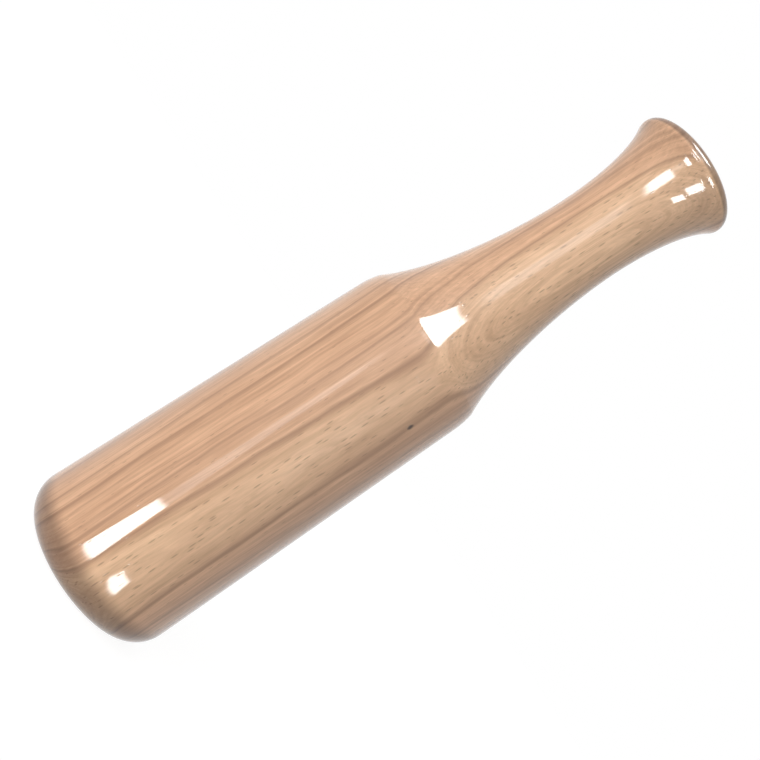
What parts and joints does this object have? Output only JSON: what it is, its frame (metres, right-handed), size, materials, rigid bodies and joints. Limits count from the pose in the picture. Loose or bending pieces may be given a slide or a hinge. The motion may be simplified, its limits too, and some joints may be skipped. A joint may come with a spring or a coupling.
{
  "type": "pestle",
  "caption": "Turned wooden pestle with a tapered cylindrical head, a creased shoulder and a waisted handle that flares to a rounded rim.",
  "frame": {"origin": "centre of the flat striking face, on the surface that the pestle stands on", "axes": "+Z runs along the axis of turning from the striking face to the tail; X and Y are level and equal, and the picture's camera looks along +Y"},
  "size_m": [0.0652, 0.0652, 0.25],
  "materials": {
    "lacquered_hardwood": "clear high-gloss lacquer over pale pinkish-tan open-pored hardwood"
  },
  "bodies": {
    "root": {"turned_body": "lacquered_hardwood"}
  },
  "joints": []
}
